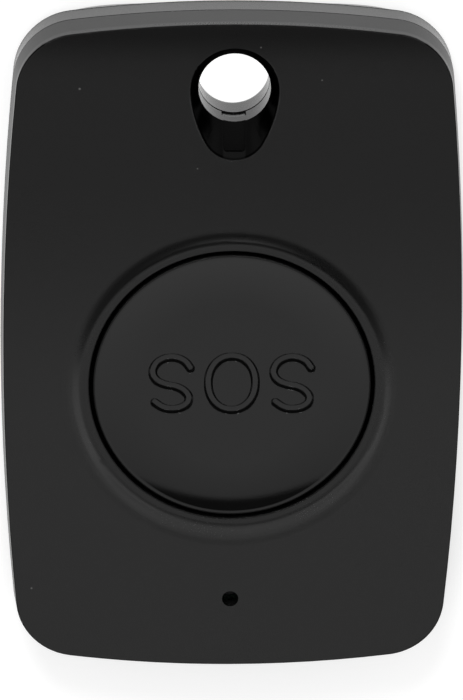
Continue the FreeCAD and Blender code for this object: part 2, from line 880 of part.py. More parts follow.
def chip_resistors():
    """A row of chips between the indicator and one board pin."""
    chips = []
    for index in range(resistor_count):
        x = pin_x - resistor_pin_offset - index * chip_pitch
        chips.append(slab((x, indicator_y), resistor_size, board_top))
    return chips


def antenna():
    """A meandering strip printed on the board."""
    high = board_top_edge - antenna_margin
    low = high - antenna_height
    top = board_top + antenna_sheet
    strips = []
    for index in range(antenna_turns * 2 + 1):
        x = antenna_left + index * antenna_pitch / 2
        strips.append(block(x, x + antenna_width, low, high, board_top, top))
        if index < antenna_turns * 2:
            y = high - antenna_width if index % 2 == 0 else low
            strips.append(block(x, x + antenna_pitch / 2, y, y + antenna_width, board_top, top))
    return strips[0].fuse(strips[1:]).removeSplitter()


def one_shape(made):
    """A node's shape: one solid, or a group of separate ones."""
    if isinstance(made, list):
        return Part.makeCompound([solid for shape in made for solid in shape.Solids])
    clean = made.removeSplitter()
    return clean.Solids[0] if len(clean.Solids) == 1 else clean


NODES = {
    "front_cover": front_cover,
    "rear_cover": rear_cover,
    "button_cap": button_cap,
    "circuit_board": circuit_board,
    "switch_base": switch_base,
    "switch_terminals": switch_terminals,
    "switch_dome": switch_dome,
    "switch_plunger": switch_plunger,
    "switch_frame": switch_frame,
    "indicator_led": indicator_led,
    "radio_chip": radio_chip,
    "crystal": crystal,
    "power_inductor": power_inductor,
    "protection_diode": protection_diode,
    "chip_capacitors": chip_capacitors,
    "chip_resistors": chip_resistors,
    "antenna": antenna,
    "battery_holder": battery_holder,
    "coin_cell": coin_cell,
    "positive_contact": positive_contact,
    "negative_contact": negative_contact,
    "case_screws": case_screws,
    "board_screws": board_screw_pair,
}

os.makedirs("parts", exist_ok=True)
for name, make in NODES.items():
    shape = one_shape(make())
    shape.exportStep(f"parts/{name}.step")
    print(name, len(shape.Solids), shape.isValid(), round(shape.Volume, 2))
print("thickness", round(face, 3))
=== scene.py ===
import math

import bmesh
import bpy
from mathutils import Matrix, Vector
from mathutils.geometry import delaunay_2d_cdt


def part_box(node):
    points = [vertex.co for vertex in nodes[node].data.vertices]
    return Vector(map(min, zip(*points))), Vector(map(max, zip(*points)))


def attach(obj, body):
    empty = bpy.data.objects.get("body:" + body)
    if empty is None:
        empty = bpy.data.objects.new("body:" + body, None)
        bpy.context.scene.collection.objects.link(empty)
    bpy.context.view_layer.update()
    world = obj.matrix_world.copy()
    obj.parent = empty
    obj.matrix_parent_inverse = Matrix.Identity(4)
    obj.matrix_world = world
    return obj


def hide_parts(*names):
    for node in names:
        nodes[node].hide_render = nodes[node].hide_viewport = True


# Looks of the wireless panic button: a black two-part pendant housing with a dished press cap.
# Metres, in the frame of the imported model: the fob lies on its back and the press cap faces +Z.

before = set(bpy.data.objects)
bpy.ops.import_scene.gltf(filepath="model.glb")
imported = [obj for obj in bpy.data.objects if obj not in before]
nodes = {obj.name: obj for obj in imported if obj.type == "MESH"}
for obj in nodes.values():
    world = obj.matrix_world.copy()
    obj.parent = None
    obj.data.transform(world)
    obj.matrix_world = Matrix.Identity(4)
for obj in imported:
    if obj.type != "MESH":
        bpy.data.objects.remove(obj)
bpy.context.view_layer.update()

MM = 0.001

# Camera of the photograph, fitted to the housing's outline
camera_target = Vector((-0.0897, -0.0615, 7.507)) * MM
camera_distance = 750.3 * MM
camera_side_angle = -0.0310
camera_tilt = 0.3679
camera_roll = 0.0094
camera_lens = 425.9
sensor_width = 36.0
camera_clip = 0.01

# Places taken from the frame
cap_low, cap_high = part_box("button_cap")
switch_low, switch_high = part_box("switch_base")
face_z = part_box("front_cover")[1].z
button_centre = (switch_low + switch_high) / 2
button_centre.z = 0

# The key-ring hole's centre lies this far up the face, in millimetres
key_hole_y = 24.76

# Zones of the front cover, each a smooth step from 0 at its first number to 1 at its second, in
# millimetres: depths below the face, distances to the side, and places along the face
face_depth = (0.12, 0.04)
scoop_depth = (0.005, 0.06)
scoop_side = (4.6, 4.3)
scoop_foot = (17.0, 18.0)
scoop_top = (29.4, 28.9)
slope_side = (0.9, 1.1)
wall_depth = (0.6, 0.9)
brow_depth = (0.5, 0.3)
brow_top = (0.0, 0.02)
brow_side = (16.8, 17.2)
upper_end = (-8.0, 18.0)
top_end = (27.0, 30.5)

# How much of its mirroring each zone loses, as a share of black metal in the plastic: painted
# shade that darkens the scoop and its slopes, the face's side edges, its upper end and the cap's
# rim
scoop_dimming = 0.8
slope_dimming = 0.14
brow_dimming = 0.7
cap_edge_dimming = 0.5
upper_dimming = 0.14
top_dimming = 0.5

# Tones of the black plastics: the darker and the lighter one of each mottle
plastic_tones = (0.0022, 0.003)
rear_tones = (0.0027, 0.0037)
face_tones = (0.0046 * 0.88, 0.0046 * 1.12)
# painted shade: the tone that the face fades to towards its upper end
face_top_shade_tone = 0.0005
# painted shade: the near black of the flange and skirt seen in the gap round the cap
gap_shade_tone = 0.0005
legend_tone = 0.0075
dust_tone = 0.09

# Their mottle and grain: sizes in metres, the noise's detail and harshness, and the grain's depths
# in millimetres
mottle_detail = 3.0
mottle_size = 6 * MM
grain_harshness = 0.6
grain_size = 0.12 * MM
cap_mottle_size = 5 * MM
cap_grain_size = 0.2 * MM
grain_depth = 0.004
face_grain_depth = 0.014
rear_grain_depth = 0.012
cap_grain_depth = 0.0008

# Their roughness, what a zone adds to it, and how much the mottle and the grain vary it
front_roughness = 0.28
face_roughening = 0.02
wall_roughening = 0.1
scoop_smoothing = 0.14
rear_roughness = 0.12
cap_roughness = 0.045
cap_edge_roughening = 0.35
hidden_roughening = 0.15
mottle_roughness = 0.05
rear_mottle_roughness = 0.06
cap_mottle_roughness = 0.03
grain_roughness = 0.05

# The face's turn-down: its crown, and the stronger roll of its upper end from a place onwards
face_crown = 0.0006
face_roll_start = 26.0
face_roll = 0.02

# Dust on the face: (x, y, radius) in millimetres, and the share of the radius that is full dust
dust_specks = [
    (-13.9, 25.0, 0.14), (2.3, 28.9, 0.1), (7.8, 25.8, 0.1), (-3.3, 17.4, 0.09),
    (-18.2, -23.4, 0.12),
]
dust_core = 0.4

# Press cap, in millimetres: a flat middle, a dished rise to the rim, a skirt and a flange
cap_flat_radius = 7.8
cap_flat_margin = 0.1
cap_dish_radius = 32.0
cap_edge_radius = 0.2
cap_skirt_radius = 12.66
cap_flange_radius = 13.9
cap_flange_height = 0.607
cap_crown_lift = 0.25
cap_pocket_radius = 5.0
cap_pocket_depth = 0.15
cap_key_width = 2.4
cap_key_reach = 0.5
cap_key_root = 1.0
cap_key_count = 3
cap_round_steps = 180
cap_dish_steps = 18
cap_edge_steps = 6
cap_smooth_angle = 40

# The width of its dished rise, and the heights of its rim and of its flat middle
cap_run = cap_skirt_radius - cap_edge_radius - cap_flat_radius
cap_rim = cap_high.z / MM + cap_crown_lift
cap_flat = cap_rim - cap_dish_radius + math.sqrt(cap_dish_radius ** 2 - cap_run ** 2)

# Its zones, each a smooth step in millimetres: what the housing hides, above its foot and out from
# its middle, its upper edge, and the letters' floor, out from the middle and above that floor
hidden_height = (0.95, 0.75)
hidden_reach = (cap_skirt_radius - 0.06, cap_skirt_radius - 0.02)
edge_reach = (cap_skirt_radius - cap_edge_radius - 0.04, cap_skirt_radius - cap_edge_radius + 0.04)
legend_reach = (9.0, 8.8)
legend_height = (0.12, 0.04)

# Legend sunk in the cap: three plain letters of one stroke each, in millimetres
letter_stroke = 0.93
letter_depth = 0.45
letter_wall_angle = math.radians(68)
letter_rim_radius = 0.08
letter_foot_radius = 0.06
letter_margin = 0.02
letter_spread = 5.49
letter_rise = 0.08
round_letter_width = 4.28
round_letter_height = 5.2
round_letter_fullness = 2.12
round_letter_steps = 84
round_end_steps = 12
groove_steps = 4
bent_letter_steps = 5
bent_letter = [
    (1.71, 1.45), (1.29, 2.03), (0.69, 2.39), (0.0, 2.52), (-0.71, 2.38), (-1.36, 1.94),
    (-1.7, 1.22), (-1.58, 0.58), (-1.1, 0.1), (-0.4, -0.17), (0.37, -0.33), (1.1, -0.7),
    (1.56, -1.3), (1.48, -1.94), (0.88, -2.38), (0.0, -2.52), (-0.78, -2.36), (-1.51, -1.86),
]
legend_floor = cap_flat - letter_depth
fill_tolerance = 1e-7

# Small parts' finishes: how far colour and roughness vary, the sizes of mottle and texture where a
# part has two finishes, and elsewhere the texture's share of the mottle's size; metres
colour_spread = 0.15
roughness_spread = 0.1
small_mottle_size = 0.4 * MM
small_texture_size = 0.08 * MM
texture_share = 1 / 8
texture_depth = 0.002 * MM
package_colour = (0.012, 0.012, 0.013)
tin_colour = (0.72, 0.71, 0.68)

# The board: its weave's pitch in metres, the cells that its tracks run round in each metre, their
# disorder, the rings in a cell, the part of a ring that is track, and the bare edge, in millimetres
# from its upper and lower side
board_weave_pitch = 0.5 * MM
board_cells = 420.0
board_cell_disorder = 0.4
board_rings = 6.0
board_track_part = (0.62, 0.7)
board_edge = (0.1, 0.15)

# Its colours, its roughness and what edge and weave add to it, and its relief in millimetres
board_mask_colour = (0.003, 0.01, 0.006, 1.0)
board_track_colour = (0.006, 0.022, 0.012, 1.0)
board_edge_colour = (0.25, 0.22, 0.1, 1.0)
board_roughness = 0.28
board_edge_roughening = 0.4
board_weave_roughness = 0.02
board_track_relief = 0.03
board_weave_relief = 0.004

# Where the second finish of a small part begins, each a smooth step in millimetres
lens_height = (0.2, 0.22)
pin_mark_corner = 0.8
pin_mark_reach = (0.3, 0.26)
lid_depth = (0.16, 0.14)
lead_reach = (1.02, 1.06)

# Screws: the sides of head and shank, the thread's core as a share of the shank's radius, its
# ridge's sides, its steps in a turn, and the shares of its pitch left bare at its start and in all
head_sides = 48
shank_sides = 24
thread_core = 0.86
ridge_sides = 4
thread_steps = 16
thread_start = 0.3
thread_bare = 0.8
repeated_smooth_angle = 30

# Chip parts, in metres
chip_length = 1.0 * MM
chip_width = 0.5 * MM
chip_pitch = 1.4 * MM
chip_end = 0.25 * MM
chip_end_blur = 0.01 * MM
chip_proud = 0.02 * MM


class Value:
    """A number socket that takes part in plain expressions."""

    def __init__(self, graph, socket):
        self.graph = graph
        self.socket = socket

    def __add__(self, other):
        return self.graph.maths("ADD", self, other)

    def __sub__(self, other):
        return self.graph.maths("SUBTRACT", self, other)

    def __rsub__(self, other):
        return self.graph.maths("SUBTRACT", other, self)

    def __mul__(self, other):
        return self.graph.maths("MULTIPLY", self, other)

    def __truediv__(self, other):
        return self.graph.maths("DIVIDE", self, other)

    __radd__ = __add__
    __rmul__ = __mul__


class Graph:
    """A node tree that is built by calls and expressions."""

    def __init__(self, tree):
        self.tree = tree
        tree.nodes.clear()

    def node(self, kind, settings=None, inputs=None, output=0):
        """Adds a node: its settings first, then the values or links of its sockets."""
        made = self.tree.nodes.new(kind)
        for name, value in (settings or {}).items():
            setattr(made, name, value)
        for name, value in (inputs or {}).items():
            if isinstance(value, Value):
                self.tree.links.new(value.socket, made.inputs[name])
            else:
                made.inputs[name].default_value = value
        return Value(self, made.outputs[output]) if made.outputs else None

    def maths(self, operation, first, second=0.0, clamp=False):
        settings = {"operation": operation, "use_clamp": clamp}
        return self.node("ShaderNodeMath", settings, {0: first, 1: second})

    def step(self, value, start, end):
        """0 before start, 1 after end, smooth between them. Start may be the higher one."""
        settings = {"interpolation_type": "SMOOTHSTEP"}
        rising = start < end
        inputs = {
            "Value": value, "From Min": min(start, end), "From Max": max(start, end),
            "To Min": 0.0 if rising else 1.0, "To Max": 1.0 if rising else 0.0,
        }
        return self.node("ShaderNodeMapRange", settings, inputs)

    def blend(self, factor, first, second):
        """Mixes two colours."""
        settings = {"data_type": "RGBA"}
        return self.node("ShaderNodeMix", settings, {"Factor": factor, 6: first, 7: second}, 2)

    def shades(self, factor, tones):
        """Mixes two greys."""
        return self.blend(factor, grey(tones[0]), grey(tones[1]))

    def place(self):
        return self.node("ShaderNodeTexCoord", output="Object")

    def moved(self, vector, offset):
        """A vector less an offset."""
        inputs = {0: vector, 1: offset}
        return self.node("ShaderNodeVectorMath", {"operation": "SUBTRACT"}, inputs)

    def length(self, vector):
        return self.node("ShaderNodeVectorMath", {"operation": "LENGTH"}, {0: vector}, "Value")

    def split(self, vector):
        parts = self.tree.nodes.new("ShaderNodeSeparateXYZ")
        self.tree.links.new(vector.socket, parts.inputs[0])
        return [Value(self, socket) for socket in parts.outputs]

    def noise(self, vector, size, detail=2.0, roughness=0.5):
        """Fractal noise from 0 to 1 whose features are about size metres across."""
        inputs = {"Vector": vector, "Scale": 1 / size, "Detail": detail, "Roughness": roughness}
        return self.node("ShaderNodeTexNoise", None, inputs, 0)

    def vector(self, x, y, z):
        return self.node("ShaderNodeCombineXYZ", None, {"X": x, "Y": y, "Z": z})

    def join(self, *shapes):
        """Several shapes as one, for a geometry tree."""
        made = self.tree.nodes.new("GeometryNodeJoinGeometry")
        for shape in shapes:
            self.tree.links.new(shape.socket, made.inputs["Geometry"])
        return Value(self, made.outputs["Geometry"])

    def shifted(self, shape, x, y, z):
        inputs = {"Geometry": shape, "Translation": self.vector(x, y, z)}
        return self.node("GeometryNodeTransform", None, inputs)

    def merged(self, shape):
        """The union of a joined shape's closed pieces."""
        settings = {"operation": "UNION", "solver": "EXACT"}
        inputs = {"Mesh 2": shape, "Self Intersection": True}
        return self.node("GeometryNodeMeshBoolean", settings, inputs)

    def block(self, x, y, z):
        return self.node("GeometryNodeMeshCube", None, {"Size": self.vector(x, y, z)})

    def bump(self, height, distance):
        inputs = {"Height": height, "Distance": distance, "Strength": 1.0}
        return self.node("ShaderNodeBump", None, inputs)


def grey(level):
    return (level, level, level, 1.0)


def surface(name, build):
    """A material whose one Principled shader takes what build(graph) returns."""
    material = bpy.data.materials.new(name)
    material.use_nodes = True
    graph = Graph(material.node_tree)
    shader = graph.node("ShaderNodeBsdfPrincipled", None, build(graph))
    graph.node("ShaderNodeOutputMaterial", None, {"Surface": shader})
    return material


def rear_plastic(name):
    """Black moulded plastic with an even satin grain."""

    def build(graph):
        place = graph.place()
        mottle = graph.noise(place, mottle_size, mottle_detail)
        grain = graph.noise(place, grain_size, roughness=grain_harshness)
        rough = rear_roughness + (mottle - 0.5) * rear_mottle_roughness
        return {
            "Base Color": graph.shades(mottle, rear_tones),
            "Roughness": rough + (grain - 0.5) * grain_roughness,
            "Normal": graph.bump(grain * rear_grain_depth, MM),
        }

    return surface(name, build)


def front_plastic(name):
    """The same plastic with a paler satin face, dust on it and a polished scoop. Painted shade
    darkens the scoop, the face's side edges and its upper end.
    """

    def build(graph):
        place = graph.place()
        x, y, z = [part / MM for part in graph.split(place)]
        aside = graph.maths("ABSOLUTE", x)
        depth = face_z / MM - z
        face = graph.step(depth, *face_depth)
        scoop = graph.step(depth, *scoop_depth) * graph.step(aside, *scoop_side)
        scoop = scoop * graph.step(y, *scoop_foot) * graph.step(y, *scoop_top)
        wall = graph.step(depth, *wall_depth)
        brow = graph.step(depth, *brow_depth) * graph.step(depth, *brow_top)
        brow = brow * graph.step(aside, *brow_side)
        upper = graph.step(y, *upper_end)

        mottle = graph.noise(place, mottle_size, mottle_detail)
        grain = graph.noise(place, grain_size, roughness=grain_harshness)
        # painted shade: the face's tone darkens towards its upper end
        satin_with_top_shade = graph.blend(upper, graph.shades(mottle, face_tones), grey(face_top_shade_tone))
        colour = graph.blend(face, graph.shades(mottle, plastic_tones), satin_with_top_shade)
        for speck_x, speck_y, radius in dust_specks:
            offset = graph.moved(place, (speck_x * MM, speck_y * MM, face_z))
            speck = graph.step(graph.length(offset), radius * MM, radius * dust_core * MM)
            colour = graph.blend(speck * face, colour, grey(dust_tone))

        rough = front_roughness + face * face_roughening + wall * wall_roughening
        rough = rough - scoop * scoop_smoothing + (mottle - 0.5) * mottle_roughness
        # painted shade: black metal takes away mirroring in the scoop, on the face's side edges and
        # at its upper end
        dimmed = scoop * (scoop_dimming + graph.step(aside, *slope_side) * slope_dimming)
        dimmed = dimmed + brow * brow_dimming
        dimmed = dimmed + face * (upper * upper_dimming + graph.step(y, *top_end) * top_dimming)

        crown = graph.maths("MAXIMUM", y, 0.0)
        rolled = graph.maths("MAXIMUM", y - face_roll_start, 0.0)
        fall = crown * crown * face_crown + rolled * rolled * face_roll
        height = grain * (grain_depth + face * face_grain_depth) - fall
        return {
            "Base Color": colour,
            "Metallic": dimmed,
            "Roughness": rough + (grain - 0.5) * grain_roughness,
            "Normal": graph.bump(height, MM),
        }

    return surface(name, build)


def cap_plastic(name):
    """Polished black plastic; the flange and skirt that the housing hides are matt, near black and
    without mirroring, painted shade that keeps the gap round the cap dark.
    """

    def build(graph):
        place = graph.place()
        x, y, z = [part / MM for part in graph.split(place)]
        middle = button_centre / MM
        reach = graph.length(graph.vector(x - middle.x, y - middle.y, 0.0))
        # painted shade: the hidden flange and skirt are near black metal, so the gap round the cap
        # reads dark
        hidden = graph.step(z - cap_low.z / MM, *hidden_height) * graph.step(reach, *hidden_reach)
        # painted shade: the cap's rim is half black metal, which dims its mirroring
        edge = graph.step(reach, *edge_reach)
        sunk = graph.step(z - legend_floor, *legend_height) * graph.step(reach, *legend_reach)
        mottle = graph.noise(place, cap_mottle_size, mottle_detail)
        grain = graph.noise(place, cap_grain_size)
        polished = graph.blend(sunk, graph.shades(mottle, plastic_tones), grey(legend_tone))
        rough = cap_roughness + mottle * cap_mottle_roughness
        return {
            "Base Color": graph.blend(hidden, polished, grey(gap_shade_tone)),
            "Metallic": graph.maths("MAXIMUM", hidden, edge * cap_edge_dimming),
            "Roughness": rough + edge * cap_edge_roughening + hidden * hidden_roughening,
            "Normal": graph.bump(grain, cap_grain_depth * MM),
        }

    return surface(name, build)


def plain_finish(name, colour, roughness, metallic, size):
    """A small part's finish: its colour and roughness vary a little, with a faint texture."""

    def build(graph):
        place = graph.place()
        mottle = graph.noise(place, size, mottle_detail)
        dark = tuple(part * (1 - colour_spread) for part in colour) + (1.0,)
        light = tuple(min(part * (1 + colour_spread), 1.0) for part in colour) + (1.0,)
        return {
            "Base Color": graph.blend(mottle, dark, light),
            "Metallic": metallic,
            "Roughness": roughness + (mottle - 0.5) * roughness_spread,
            "Normal": graph.bump(graph.noise(place, size * texture_share), texture_depth),
        }

    return surface(name, build)


def two_part_finish(name, body, ends, is_end, end_metallic=1.0, roughness=0.45, end_roughness=0.3):
    """A small part's two finishes, parted by is_end(graph, x, y, z), from 0 to 1."""

    def build(graph):
        place = graph.place()
        x, y, z = graph.split(place)
        ended = is_end(graph, x, y, z)
        mottle = graph.noise(place, small_mottle_size, mottle_detail)
        shades = []
        for colour in (body, ends):
            dark = tuple(part * (1 - colour_spread) for part in colour) + (1.0,)
            shades.append(graph.blend(mottle, dark, colour + (1.0,)))
        rough = roughness + ended * (end_roughness - roughness)
        return {
            "Base Color": graph.blend(ended, shades[0], shades[1]),
            "Metallic": ended * end_metallic,
            "Roughness": rough + (mottle - 0.5) * roughness_spread,
            "Normal": graph.bump(graph.noise(place, small_texture_size), texture_depth),
        }

    return surface(name, build)


def board_finish(low_z, high_z):
    """Dark green solder mask over a glass weave, with raised copper tracks and bare edges."""

    def build(graph):
        place = graph.place()
        x, y, z = graph.split(place)
        turn = 2 * math.pi / board_weave_pitch
        weave = graph.maths("SINE", x * turn) * graph.maths("SINE", y * turn)
        settings = {"distance": "MANHATTAN", "feature": "F1"}
        inputs = {"Vector": place, "Scale": board_cells, "Randomness": board_cell_disorder}
        cell = graph.node("ShaderNodeTexVoronoi", settings, inputs)
        ring = graph.maths("PINGPONG", cell * board_rings, 1.0)
        track = graph.step(ring, *board_track_part)
        edge = graph.step((high_z - z) / MM, *board_edge)
        edge = edge * graph.step((z - low_z) / MM, *board_edge)
        mask = graph.blend(track, board_mask_colour, board_track_colour)
        rough = board_roughness + edge * board_edge_roughening
        return {
            "Base Color": graph.blend(edge, mask, board_edge_colour),
            "Roughness": rough + weave * board_weave_roughness,
            "Normal": graph.bump(track * board_track_relief + weave * board_weave_relief, MM),
        }

    return surface("board_green_mask", build)


def dress(name, material):
    """Gives a CAD node one material."""
    data = nodes[name].data
    data.materials.clear()
    data.materials.append(material)


def new_piece(name, mesh, material):
    """A mesh in millimetres as an object in metres, with one material."""
    data = bpy.data.meshes.new(name)
    bmesh.ops.recalc_face_normals(mesh, faces=mesh.faces)
    mesh.to_mesh(data)
    mesh.free()
    data.transform(Matrix.Scale(MM, 4))
    data.materials.append(material)
    piece = bpy.data.objects.new(name, data)
    bpy.context.scene.collection.objects.link(piece)
    return piece


def shade_smooth(data, angle):
    """Smooth shading that breaks at edges sharper than the angle, in degrees."""
    data.shade_smooth()
    data.set_sharp_from_angle(angle=math.radians(angle))


def freeze(piece):
    """Turns a piece with its modifiers into a plain mesh."""
    view = bpy.context.evaluated_depsgraph_get()
    data = bpy.data.meshes.new_from_object(piece.evaluated_get(view))
    piece.modifiers.clear()
    piece.data = data


def add_loop(mesh, stations, profile_point):
    """A closed loop: at each station (middle, direction) a point at (reach, height)."""
    reach, height = profile_point
    loop = []
    for middle, direction in stations:
        place = middle + direction * reach
        loop.append(mesh.verts.new((place.x, place.y, height)))
    return loop


def join_loops(mesh, loops):
    """Bands of quads from each loop to the next."""
    for first, second in zip(loops, loops[1:]):
        for index in range(len(first)):
            after = (index + 1) % len(first)
            mesh.faces.new((first[index], first[after], second[after], second[index]))


def sweep(mesh, stations, profile):
    """Bands along a profile of (reach, height) points. Returns the first and the last loop."""
    loops = [add_loop(mesh, stations, profile_point) for profile_point in profile]
    join_loops(mesh, loops)
    return loops[0], loops[-1]


def crossings(loop, x, y):
    """How many of a loop's edges a line from (x, y) towards +X crosses."""
    count = 0
    for index, vert in enumerate(loop):
        a, b = vert.co, loop[index - 1].co
        if (a.y > y) != (b.y > y) and x < a.x + (b.x - a.x) * (y - a.y) / (b.y - a.y):
            count += 1
    return count


def fill_flat(mesh, loops):
    """Triangles in the level area that an odd number of the loops surround."""
    verts = [vert for loop in loops for vert in loop]
    edges = []
    for loop in loops:
        start = len(edges)
        edges.extend((start + index, start + (index + 1) % len(loop)) for index in range(len(loop)))
    places = [vert.co.xy for vert in verts]
    _, _, triangles, origins, _, _ = delaunay_2d_cdt(places, edges, [], 0, fill_tolerance)
    for triangle in triangles:
        corners = [verts[origins[index][0]] for index in triangle]
        x = sum(vert.co.x for vert in corners) / 3
        y = sum(vert.co.y for vert in corners) / 3
        if sum(crossings(loop, x, y) for loop in loops) % 2:
            mesh.faces.new(corners)


def round_stations(count):
    """Directions spread evenly round the cap's axis."""
    turns = [2 * math.pi * index / count for index in range(count)]
    return [(Vector((0, 0)), Vector((math.cos(turn), math.sin(turn)))) for turn in turns]


def smooth_line(points, steps):
    """Points along a smooth line through the given ones, evenly shared between them."""
    points = [Vector(place) for place in points]
    padded = [points[0] * 2 - points[1]] + points + [points[-1] * 2 - points[-2]]
    line = []
    for before, start, end, after in zip(padded, padded[1:], padded[2:], padded[3:]):
        bend = 2 * before - 5 * start + 4 * end - after
        twist = 3 * start - before - 3 * end + after
        for index in range(steps):
            t = index / steps
            line.append(0.5 * (2 * start + (end - before) * t + bend * t ** 2 + twist * t ** 3))
    return line + [points[-1]]


def across(line, index, closed):
    """The unit vector to the left of a line at one of its points."""
    count = len(line)
    ahead = line[(index + 1) % count] if closed else line[min(index + 1, count - 1)]
    behind = line[index - 1] if closed else line[max(index - 1, 0)]
    along = (ahead - behind).normalized()
    return Vector((-along.y, along.x))


def stroke_stations(line):
    """Round an open stroke: one side, the round end, the other side back, the round start."""
    sides = [across(line, index, False) for index in range(len(line))]
    turns = [math.pi * step / round_end_steps for step in range(1, round_end_steps)]
    stations = list(zip(line, sides))
    stations += [(line[-1], Matrix.Rotation(-turn, 2) @ sides[-1]) for turn in turns]
    stations += [(place, -side) for place, side in zip(line[::-1], sides[::-1])]
    stations += [(line[0], Matrix.Rotation(-turn, 2) @ -sides[0]) for turn in turns]
    return stations


def groove_profile(top):
    """Half of the letter's section, from the flat beside it down to its floor."""
    half = letter_stroke / 2
    slope = letter_wall_angle
    sine, cosine = math.sin(slope), math.cos(slope)
    rim_end = (half - letter_rim_radius * sine, -letter_rim_radius * (1 - cosine))
    foot_height = letter_foot_radius * (1 - cosine) - letter_depth
    foot_start = rim_end[0] - (rim_end[1] - foot_height) / math.tan(slope)
    floor_edge = foot_start - letter_foot_radius * sine
    profile = [(half + letter_margin, 0.0)]
    for step in range(groove_steps + 1):
        turn = slope * step / groove_steps
        drop = letter_rim_radius * (1 - math.cos(turn))
        profile.append((half - letter_rim_radius * math.sin(turn), -drop))
    for step in range(groove_steps, -1, -1):
        turn = slope * step / groove_steps
        rise = letter_foot_radius * (1 - math.cos(turn)) - letter_depth
        profile.append((floor_edge + letter_foot_radius * math.sin(turn), rise))
    profile.append((floor_edge - letter_margin, -letter_depth))
    return [(reach, top + height) for reach, height in profile]


def sink_letters(mesh, top):
    """Adds the three letters' grooves and returns the loops that bound them on the flat."""
    profile = groove_profile(top)
    bounds = []
    for side in (-1, 1):
        line = smooth_line(bent_letter, bent_letter_steps)
        line = [place + Vector((side * letter_spread, letter_rise)) for place in line]
        upper, lower = sweep(mesh, stroke_stations(line), profile)
        fill_flat(mesh, [lower])
        bounds.append(upper)
    line = []
    power = 2 / round_letter_fullness
    for index in range(round_letter_steps):
        turn = 2 * math.pi * index / round_letter_steps
        x = math.copysign(abs(math.cos(turn)) ** power, math.cos(turn)) * round_letter_width / 2
        y = math.copysign(abs(math.sin(turn)) ** power, math.sin(turn)) * round_letter_height / 2
        line.append(Vector((x, y + letter_rise)))
    floors = []
    for sign in (-1, 1):
        stations = [(place, across(line, index, True) * sign) for index, place in enumerate(line)]
        upper, lower = sweep(mesh, stations, profile)
        bounds.append(upper)
        floors.append(lower)
    fill_flat(mesh, floors)
    return bounds


def press_cap(material):
    """The dished cap with its sunk legend, its flange and the three keys on the flange."""
    under = cap_low.z / MM
    sweep_angle = math.asin(cap_run / cap_dish_radius)
    profile = [(cap_flat_radius + cap_flat_margin, cap_flat)]
    for step in range(1, cap_dish_steps + 1):
        turn = sweep_angle * step / cap_dish_steps
        rise = cap_dish_radius * (1 - math.cos(turn))
        profile.append((cap_flat_radius + cap_dish_radius * math.sin(turn), cap_flat + rise))
    for step in range(1, cap_edge_steps + 1):
        turn = math.pi / 2 * step / cap_edge_steps
        reach = cap_skirt_radius - cap_edge_radius * (1 - math.sin(turn))
        profile.append((reach, cap_rim - cap_edge_radius * (1 - math.cos(turn))))
    profile += [
        (cap_skirt_radius, under + cap_flange_height),
        (cap_flange_radius, under + cap_flange_height),
        (cap_flange_radius, under),
        (cap_pocket_radius, under),
        (cap_pocket_radius, under + cap_pocket_depth),
    ]
    mesh = bmesh.new()
    upper, lower = sweep(mesh, round_stations(cap_round_steps), profile)
    fill_flat(mesh, [upper] + sink_letters(mesh, cap_flat))
    mesh.faces.new(lower)
    piece = new_piece("press_cap", mesh, material)

    keys = bmesh.new()
    inner = cap_flange_radius - cap_key_root
    length = cap_flange_radius + cap_key_reach - inner
    for index in range(cap_key_count):
        turn = Matrix.Rotation(2 * math.pi * index / cap_key_count, 4, "Z")
        middle = Vector((0, inner + length / 2, under + cap_flange_height / 2))
        size = Matrix.Diagonal((cap_key_width, length, cap_flange_height, 1))
        bmesh.ops.create_cube(keys, size=1, matrix=turn @ Matrix.Translation(middle) @ size)
    cutter = new_piece("cap_keys", keys, material)
    union = piece.modifiers.new("keys", "BOOLEAN")
    union.operation = "UNION"
    union.solver = "EXACT"
    union.object = cutter
    freeze(piece)
    bpy.data.objects.remove(cutter)
    piece.data.transform(Matrix.Translation(button_centre))
    shade_smooth(piece.data, cap_smooth_angle)
    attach(piece, "cap")
    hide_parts("button_cap")


def repeated(name, places, sizes, shape, material):
    """One shape at each of the places: a geometry tree with named sizes, made a plain mesh."""
    tree = bpy.data.node_groups.new(name, "GeometryNodeTree")
    tree.interface.new_socket("Geometry", in_out="INPUT", socket_type="NodeSocketGeometry")
    for size in sizes:
        tree.interface.new_socket(size, in_out="INPUT", socket_type="NodeSocketFloat")
    tree.interface.new_socket("Material", in_out="INPUT", socket_type="NodeSocketMaterial")
    tree.interface.new_socket("Geometry", in_out="OUTPUT", socket_type="NodeSocketGeometry")
    graph = Graph(tree)
    group = tree.nodes.new("NodeGroupInput")
    given = {socket.name: Value(graph, socket) for socket in group.outputs if socket.name}
    inputs = {"Points": given["Geometry"], "Instance": shape(graph, given)}
    spread = graph.node("GeometryNodeInstanceOnPoints", None, inputs)
    solid = graph.node("GeometryNodeRealizeInstances", None, {"Geometry": spread})
    inputs = {"Geometry": solid, "Material": given["Material"]}
    dressed = graph.node("GeometryNodeSetMaterial", None, inputs)
    graph.node("NodeGroupOutput", None, {"Geometry": dressed})

    data = bpy.data.meshes.new(name)
    data.from_pydata(places, [], [])
    piece = bpy.data.objects.new(name, data)
    bpy.context.scene.collection.objects.link(piece)
    modifier = piece.modifiers.new("repeat", "NODES")
    modifier.node_group = tree
    values = dict(sizes, Material=material)
    for item in tree.interface.items_tree:
        if item.in_out == "INPUT" and item.name in values:
            modifier[item.identifier] = values[item.name]
    freeze(piece)
    piece.data.validate()
    shade_smooth(piece.data, repeated_smooth_angle)
    return piece


